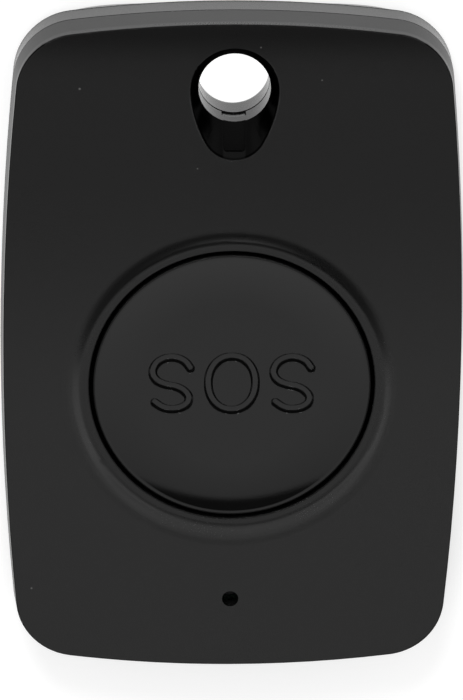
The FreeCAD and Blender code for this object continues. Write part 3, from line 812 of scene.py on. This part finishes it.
def screw_shape(graph, given):
    """A pan head with a chamfer and a cross recess in its lower face, and a threaded shank."""
    radius, height, chamfer = given["Head Radius"], given["Head Height"], given["Chamfer"]
    shank, length, pitch = given["Shank Radius"], given["Shank Length"], given["Pitch"]
    inputs = {"Vertices": head_sides, "Radius": radius, "Depth": height - chamfer}
    head = graph.node("GeometryNodeMeshCylinder", None, inputs)
    head = graph.shifted(head, 0.0, 0.0, (height + chamfer) * 0.5)
    inputs = {
        "Vertices": head_sides, "Radius Top": radius, "Radius Bottom": radius - chamfer,
        "Depth": chamfer,
    }
    rim = graph.node("GeometryNodeMeshCone", None, inputs)
    core = shank * thread_core
    inputs = {"Vertices": shank_sides, "Radius": core, "Depth": length + height * 0.5}
    stem = graph.node("GeometryNodeMeshCylinder", None, inputs)
    stem = graph.shifted(stem, 0.0, 0.0, height + length * 0.5 - height * 0.25)
    solid = graph.merged(graph.join(head, rim, stem))
    span, width, depth = given["Recess Span"], given["Recess Width"], given["Recess Depth"]
    slots = graph.block(span, width, depth * 2), graph.block(width, span, depth * 2)
    cross = graph.merged(graph.join(*slots))
    settings = {"operation": "DIFFERENCE", "solver": "EXACT"}
    solid = graph.node("GeometryNodeMeshBoolean", settings, {"Mesh 1": solid, "Mesh 2": cross})
    run = length - pitch * thread_bare
    inputs = {
        "Resolution": thread_steps, "Rotations": run / pitch, "Start Radius": core,
        "End Radius": core, "Height": run,
    }
    thread = graph.node("GeometryNodeCurveSpiral", None, inputs)
    inputs = {"Resolution": ridge_sides, "Radius": shank * (1 - thread_core)}
    ridge = graph.node("GeometryNodeCurvePrimitiveCircle", {"mode": "RADIUS"}, inputs)
    inputs = {"Curve": thread, "Profile Curve": ridge, "Fill Caps": True}
    thread = graph.node("GeometryNodeCurveToMesh", None, inputs)
    thread = graph.shifted(thread, 0.0, 0.0, height + pitch * thread_start)
    return graph.join(solid, thread)


def chip_shape(graph, given):
    """A chip part: its body and two end caps that stand a little proud of it."""
    length, width, height, end = given["Length"], given["Width"], given["Height"], given["End"]
    proud = given["Proud"]
    body = graph.block(length - end, width - proud * 2, height - proud * 2)
    reach = (length - end) * 0.5
    first = graph.shifted(graph.block(end, width, height), reach, 0.0, 0.0)
    last = graph.shifted(graph.block(end, width, height), reach * -1.0, 0.0, 0.0)
    return graph.shifted(graph.merged(graph.join(body, first, last)), 0.0, 0.0, height * 0.5)


def screws(name, node, sizes, material):
    """Screws, heads down, at the two or four mirrored places that the CAD node's box gives."""
    low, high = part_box(node)
    radius = sizes["Head Radius"]
    reach = high.x - radius
    rows = ((low.y + high.y) / 2,)
    if high.y - low.y > radius * 3:
        rows = (low.y + radius, high.y - radius)
    places = [(side * reach, row, low.z) for side in (-1, 1) for row in rows]
    sizes["Shank Length"] = high.z - low.z - sizes["Head Height"]
    piece = repeated(name, places, sizes, screw_shape, material)
    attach(piece, "housing")
    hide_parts(node)


def chips(name, node, height, body):
    """A block of chip parts that fills the CAD node's box, as far apart as the node's solids."""
    low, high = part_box(node)
    start = low.x + chip_length / 2
    columns = round((high.x - low.x - chip_length) / chip_pitch) + 1
    rows = round((high.y - low.y - chip_width) / chip_pitch) + 1
    places = [
        (start + column * chip_pitch, low.y + chip_width / 2 + row * chip_pitch, low.z)
        for column in range(columns) for row in range(rows)
    ]

    def is_end(graph, x, y, z):
        from_middle = graph.maths("PINGPONG", x - start, chip_pitch / 2)
        end_start = chip_length / 2 - chip_end
        return graph.step(from_middle, end_start - chip_end_blur, end_start + chip_end_blur)

    material = two_part_finish(name + "_finish", body, tin_colour, is_end)
    sizes = {
        "Length": chip_length, "Width": chip_width, "Height": height, "End": chip_end,
        "Proud": chip_proud,
    }
    piece = repeated(name, places, sizes, chip_shape, material)
    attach(piece, "housing")
    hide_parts(node)


# Studio: what lies in each direction of the sky, as reflections show it. Each card is a light
# panel: its middle's tilt from straight up towards +Y and towards +X, its two half sizes in those
# directions, the softness of its edge, all in degrees, and its radiance at its two ends along Y.
sky_base = 0.02
sky_panels = [
    ((-23.8, 0), (13.7, 34), 2, (0.83, 0.5)),
    ((-77, 0), (7, 9), 8, (1.5, 1.5)),
    ((-16, -45), (24, 9), 8, (1.3, 1.3)),
    ((-16, 45), (24, 9), 8, (1.3, 1.3)),
    ((27, 0), (28, 34), 8, (0.66, 1.1)),
    ((3, -32), (12, 14), 6, (0.55, 0.4)),
    ((3, 32), (12, 14), 6, (0.55, 0.4)),
    ((48.6, -13.7), (2.5, 2.5), 2, (26.0, 26.0)),
    ((48.6, 13.7), (2.5, 2.5), 2, (16.0, 16.0)),
]

# The even light of the room, which matt surfaces take
room_level = 0.8

# What low views and the back mirror: the room round the table, and below it where it is clear.
# It fades in as the direction's height falls through horizon_height.
horizon_level = 0.5
horizon_height = (0.34, 0.2)

# The table: its size and its drop below the fob in metres, and its brightness to matt rays, to the
# camera (by reflection, by its own glow, and more of that in the key-ring hole, painted light that
# lifts the fob's shade there) and to mirrors
table_size = 6
table_drop = 0.02 * MM
table_white = 0.9
table_seen_white = 0.6
table_glow = 0.52
hole_painted_glow = 0.45
table_mirrored = 0.95

# The painted shadow that mirrors see on the table: how far it looks for the fob, and how much open
# sky is full light
shadow_distance = 1.5 * MM
shadow_samples = 16
shadow_open = (0.56, 0.74)

# On the table, in millimetres: the key-ring hole's edge, and half the width and length that the
# fob covers, a rounded shape by this power
hole_reach = (4.5, 3.9)
covered_half_width = 20.3
covered_half_length = 30.6
covered_power = 6.0
covered_edge = (1.0, 0.98)

# The lamp above the fob's upper end, in metres and watts
lamp_place = Vector((-0.1, 0.65, 0.6))
lamp_size = 0.3
lamp_energy = 3.5


def studio_sky():
    world = bpy.data.worlds.new("studio_sky")
    bpy.context.scene.world = world
    world.use_nodes = True
    graph = Graph(world.node_tree)
    x, y, z = graph.split(graph.node("ShaderNodeTexCoord", output="Generated"))
    forward = graph.maths("ARCTAN2", y, z) * math.degrees(1)
    sideways = graph.maths("ARCSINE", x) * math.degrees(1)
    level = sky_base
    for (tilt, lean), (half, side), soft, (low, high) in sky_panels:
        aside = graph.maths("ABSOLUTE", sideways - lean)
        along = graph.maths("ABSOLUTE", forward - tilt)
        edge = graph.step(aside, side + soft / 2, side - soft / 2)
        edge = edge * graph.step(along, half + soft / 2, half - soft / 2)
        share = graph.maths("DIVIDE", forward - (tilt - half), 2 * half, clamp=True)
        level = edge * (share * (high - low) + low) + level
    level = level + graph.step(z, *horizon_height) * horizon_level
    path = graph.tree.nodes.new("ShaderNodeLightPath")
    seen = Value(graph, path.outputs["Is Camera Ray"])
    matt = Value(graph, path.outputs["Is Diffuse Ray"])
    strength = level * (1 - seen - matt) + seen + matt * room_level
    sky = graph.node("ShaderNodeBackground", None, {"Color": grey(1.0), "Strength": strength})
    graph.node("ShaderNodeOutputWorld", None, {"Surface": sky})
    world.cycles.sampling_method = "NONE"


def studio_floor():
    """A white table that is clear from below, so that the back can be seen.

    Under the fob it lets light through, but not the camera's view. The camera sees its own white,
    in the fob's shadow; mirrors see a glow with a painted shadow close to the fob. In the key-ring
    hole painted light lifts the fob's shade for both."""
    bpy.ops.mesh.primitive_plane_add(size=table_size)
    floor = bpy.context.object
    floor.name = "floor"
    floor.location.z = -table_drop
    material = bpy.data.materials.new("white_table")
    material.use_nodes = True
    graph = Graph(material.node_tree)
    path = graph.tree.nodes.new("ShaderNodeLightPath")
    seen = Value(graph, path.outputs["Is Camera Ray"])
    mirrored = Value(graph, path.outputs["Is Glossy Ray"])
    place = graph.place()
    from_hole = graph.length(graph.moved(place, (0, key_hole_y * MM, 0)))
    in_hole = graph.step(from_hole / MM, *hole_reach)
    x, y = graph.split(place)[:2]
    aside = graph.maths("ABSOLUTE", x / (covered_half_width * MM))
    along = graph.maths("ABSOLUTE", y / (covered_half_length * MM))
    reach = graph.maths("POWER", aside, covered_power) + graph.maths("POWER", along, covered_power)
    covered = graph.step(reach, *covered_edge) * (1 - in_hole)

    # painted light: a stronger glow in the key-ring hole lifts the fob's shade there
    strength = (table_glow + in_hole * hole_painted_glow) * (1 - covered)
    glow = graph.node("ShaderNodeEmission", None, {"Color": grey(1.0), "Strength": strength})
    matt = graph.node("ShaderNodeBsdfDiffuse", None, {"Color": grey(table_seen_white)})
    both = graph.node("ShaderNodeAddShader", None, {0: matt, 1: glow})
    settings, inputs = {"samples": shadow_samples}, {"Distance": shadow_distance}
    # painted shadow: the glow that mirrors see dims close to the fob
    open_sky = graph.node("ShaderNodeAmbientOcclusion", settings, inputs, "AO")
    # painted light: mirrors see the key-ring hole's table at full white, without the fob's shade
    lit = graph.maths("MAXIMUM", graph.step(open_sky, *shadow_open), in_hole)
    inputs = {"Color": grey(1.0), "Strength": lit * table_mirrored}
    mirror_glow = graph.node("ShaderNodeEmission", None, inputs)
    white = graph.node("ShaderNodeBsdfDiffuse", None, {"Color": grey(table_white)})
    mixed = graph.node("ShaderNodeMixShader", None, {0: mirrored, 1: white, 2: mirror_glow})
    mixed = graph.node("ShaderNodeMixShader", None, {0: seen, 1: mixed, 2: both})
    below = graph.node("ShaderNodeNewGeometry", output="Backfacing")
    below = graph.maths("MAXIMUM", below, covered * (1 - seen))
    clear = graph.node("ShaderNodeBsdfTransparent")
    mixed = graph.node("ShaderNodeMixShader", None, {0: below, 1: mixed, 2: clear})
    graph.node("ShaderNodeOutputMaterial", None, {"Surface": mixed})
    floor.data.materials.append(material)


def key_lamp():
    light = bpy.data.lights.new("key_lamp", "AREA")
    light.shape = "DISK"
    light.size = lamp_size
    light.energy = lamp_energy
    lamp = bpy.data.objects.new("key_lamp", light)
    bpy.context.scene.collection.objects.link(lamp)
    turn = lamp_place.to_track_quat("Z", "Y").to_matrix().to_4x4()
    lamp.matrix_world = Matrix.Translation(lamp_place) @ turn
    lamp.visible_glossy = False


def photo_camera():
    """The camera stands in front of the face, a little towards the key-ring hole."""
    data = bpy.data.cameras.new("camera")
    camera = bpy.data.objects.new("camera", data)
    bpy.context.scene.collection.objects.link(camera)
    back = Vector((
        math.sin(camera_side_angle) * math.cos(camera_tilt),
        math.sin(camera_tilt),
        math.cos(camera_side_angle) * math.cos(camera_tilt),
    ))
    right = Vector((0, 1, 0)).cross(back).normalized()
    up = back.cross(right)
    cos_roll, sin_roll = math.cos(camera_roll), math.sin(camera_roll)
    right, up = right * cos_roll + up * sin_roll, up * cos_roll - right * sin_roll
    turn = Matrix((right, up, back)).transposed().to_4x4()
    camera.matrix_world = Matrix.Translation(camera_target + back * camera_distance) @ turn
    data.lens = camera_lens
    data.sensor_width = sensor_width
    data.clip_start = camera_clip
    bpy.context.scene.camera = camera


black_face = front_plastic("front_satin_black")
black_rear = rear_plastic("rear_satin_black")
black_cap = cap_plastic("cap_gloss_black")
screw_steel = plain_finish("screw_zinc", (0.5, 0.51, 0.53), 0.3, 1.0, 0.5 * MM)

dress("front_cover", black_face)
dress("rear_cover", black_rear)
press_cap(black_cap)

# The parts inside: (colour, roughness, metallic, size of the mottle in metres)
inner_finishes = {
    "switch_base": ((0.012, 0.012, 0.014), 0.45, 0.0, 0.6 * MM),
    "switch_terminals": ((0.74, 0.73, 0.69), 0.3, 1.0, 0.3 * MM),
    "switch_dome": ((0.62, 0.61, 0.59), 0.2, 1.0, 0.5 * MM),
    "switch_plunger": ((0.5, 0.46, 0.38), 0.5, 0.0, 0.7 * MM),
    "switch_frame": ((0.58, 0.58, 0.57), 0.32, 1.0, 0.4 * MM),
    "power_inductor": ((0.05, 0.05, 0.055), 0.6, 0.0, 0.3 * MM),
    "antenna": ((0.85, 0.55, 0.28), 0.3, 1.0, 0.5 * MM),
    "battery_holder": ((0.014, 0.014, 0.016), 0.5, 0.0, 1.5 * MM),
    "coin_cell": ((0.64, 0.63, 0.6), 0.24, 1.0, 3.0 * MM),
    "positive_contact": ((0.7, 0.66, 0.56), 0.28, 1.0, 0.8 * MM),
    "negative_contact": ((0.68, 0.65, 0.57), 0.28, 1.0, 0.8 * MM),
}
for node, (colour, roughness, metallic, size) in inner_finishes.items():
    dress(node, plain_finish(node + "_finish", colour, roughness, metallic, size))

board_low, board_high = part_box("circuit_board")
dress("circuit_board", board_finish(board_low.z, board_high.z))

led_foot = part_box("indicator_led")[0].z
chip_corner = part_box("radio_chip")[0]
can_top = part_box("crystal")[1].z
diode_low, diode_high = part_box("protection_diode")


def lens(graph, x, y, z):
    return graph.step((z - led_foot) / MM, *lens_height)


def pin_mark(graph, x, y, z):
    mark = chip_corner + Vector((1, 1, 0)) * pin_mark_corner * MM
    offset = graph.vector(x - mark.x, y - mark.y, 0.0)
    return graph.step(graph.length(offset) / MM, *pin_mark_reach)


def metal_lid(graph, x, y, z):
    return graph.step((can_top - z) / MM, *lid_depth)


def leads(graph, x, y, z):
    middle = (diode_low.x + diode_high.x) / 2
    return graph.step(graph.maths("ABSOLUTE", x - middle) / MM, *lead_reach)


dress("indicator_led", two_part_finish(
    "indicator_finish", (0.35, 0.34, 0.32), (0.012, 0.012, 0.014), lens, 0.0, 0.5, 0.12))
dress("radio_chip", two_part_finish(
    "radio_chip_finish", package_colour, (0.03, 0.03, 0.032), pin_mark, 0.0, 0.5, 0.25))
dress("crystal", two_part_finish(
    "crystal_finish", (0.55, 0.5, 0.42), (0.66, 0.6, 0.45), metal_lid))
dress("protection_diode", two_part_finish("diode_finish", package_colour, tin_colour, leads))

case_screw = {
    "Head Radius": 1.45 * MM, "Head Height": 0.9 * MM, "Chamfer": 0.25 * MM,
    "Shank Radius": 0.8 * MM, "Pitch": 0.6 * MM,
    "Recess Span": 1.5 * MM, "Recess Width": 0.35 * MM, "Recess Depth": 0.45 * MM,
}
board_screw = {
    "Head Radius": 1.2 * MM, "Head Height": 0.55 * MM, "Chamfer": 0.15 * MM,
    "Shank Radius": 0.6 * MM, "Pitch": 0.45 * MM,
    "Recess Span": 1.2 * MM, "Recess Width": 0.3 * MM, "Recess Depth": 0.3 * MM,
}
screws("case_screw_set", "case_screws", case_screw, screw_steel)
screws("board_screw_set", "board_screws", board_screw, screw_steel)
chips("capacitor_rows", "chip_capacitors", 0.5 * MM, (0.42, 0.3, 0.2))
chips("resistor_row", "chip_resistors", 0.35 * MM, (0.015, 0.015, 0.016))

photo_camera()
studio_sky()
studio_floor()
key_lamp()
bpy.context.scene.view_settings.view_transform = "Standard"
